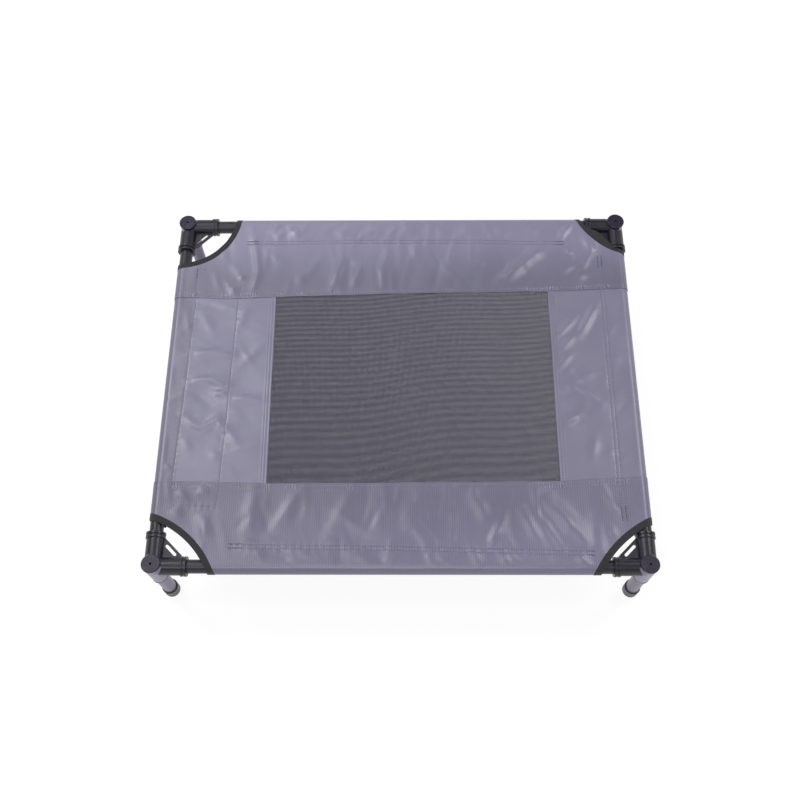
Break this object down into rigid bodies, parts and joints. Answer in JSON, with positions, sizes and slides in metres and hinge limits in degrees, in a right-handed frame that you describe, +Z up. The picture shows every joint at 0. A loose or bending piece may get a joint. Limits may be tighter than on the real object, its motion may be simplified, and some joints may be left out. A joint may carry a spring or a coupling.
{
  "type": "raised dog cot",
  "caption": "Low raised pet bed: tube rails in moulded corner connectors, push-in legs with foot caps, and a sewn fabric cover with a mesh middle stretched over the rails.",
  "frame": {"origin": "on the floor under the middle of the cot, between the four feet", "axes": "+X along the long side to the right, +Y towards the back edge, +Z up"},
  "size_m": [0.916, 0.756, 0.186],
  "materials": {
    "moulded_plastic": "moulded black plastic, satin, with fine grain",
    "powder_coat": "black powder coat on steel tube, satin",
    "foot_rubber": "moulded black rubber, dull",
    "cover_fabric": "woven lilac-grey canvas, softly wrinkled",
    "mesh_fabric": "open woven dark grey mesh",
    "binding_tape": "black woven binding tape, stitched"
  },
  "bodies": {
    "frame": {"connector_front_left": "moulded_plastic", "connector_front_right": "moulded_plastic", "connector_back_right": "moulded_plastic", "connector_back_left": "moulded_plastic", "cap_front_left": "moulded_plastic", "cap_front_right": "moulded_plastic", "cap_back_right": "moulded_plastic", "cap_back_left": "moulded_plastic", "rail_front": "powder_coat", "rail_back": "powder_coat", "rail_left": "powder_coat", "rail_right": "powder_coat", "cover_front_panel": "cover_fabric", "cover_back_panel": "cover_fabric", "cover_left_panel": "cover_fabric", "cover_right_panel": "cover_fabric", "mesh_panel": "mesh_fabric", "binding_front_left": "binding_tape", "binding_front_right": "binding_tape", "binding_back_right": "binding_tape", "binding_back_left": "binding_tape"},
    "front_left_leg": {"leg_front_left": "powder_coat", "foot_front_left": "foot_rubber"},
    "front_right_leg": {"leg_front_right": "powder_coat", "foot_front_right": "foot_rubber"},
    "back_right_leg": {"leg_back_right": "powder_coat", "foot_back_right": "foot_rubber"},
    "back_left_leg": {"leg_back_left": "powder_coat", "foot_back_left": "foot_rubber"}
  },
  "joints": [
    {"name": "front_left_leg_pull", "type": "slide", "parent": "frame", "child": "front_left_leg", "axis": [0, 0, -1], "range_m": [0, 0.05]},
    {"name": "front_right_leg_pull", "type": "slide", "parent": "frame", "child": "front_right_leg", "axis": [0, 0, -1], "range_m": [0, 0.05]},
    {"name": "back_right_leg_pull", "type": "slide", "parent": "frame", "child": "back_right_leg", "axis": [0, 0, -1], "range_m": [0, 0.05]},
    {"name": "back_left_leg_pull", "type": "slide", "parent": "frame", "child": "back_left_leg", "axis": [0, 0, -1], "range_m": [0, 0.05]}
  ]
}
